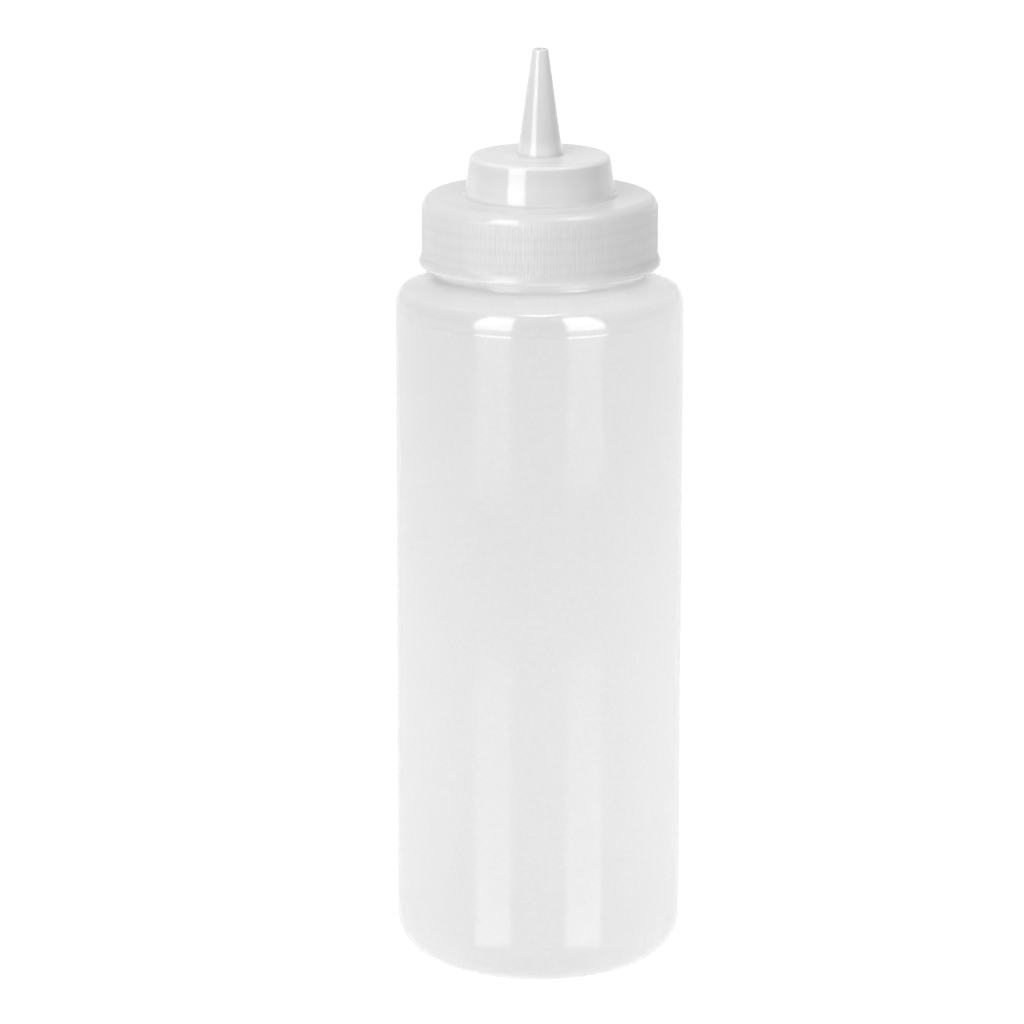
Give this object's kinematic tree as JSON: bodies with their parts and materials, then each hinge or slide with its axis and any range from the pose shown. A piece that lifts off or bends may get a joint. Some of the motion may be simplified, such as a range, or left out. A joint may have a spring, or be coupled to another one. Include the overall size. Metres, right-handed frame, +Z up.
{
  "type": "condiment squeeze bottle",
  "caption": "Tall round squeeze bottle of frosted see-through plastic, empty, with a ribbed screw cap in two tiers and a pointed cone nozzle for sauces.",
  "frame": {"origin": "centre of the ring that the bottle stands on", "axes": "+Z up along the bottle's axis to the nozzle's tip; +X to the picture's right; +Y away from the camera"},
  "size_m": [0.081, 0.081, 0.2623],
  "materials": {
    "frosted_plastic": "uncoloured soft polyethylene, frosted and see-through, thin blown wall",
    "satin_plastic": "uncoloured moulded polyethylene, milky with a soft gloss"
  },
  "bodies": {
    "root": {"bottle": "frosted_plastic", "cap": "satin_plastic"}
  },
  "joints": []
}
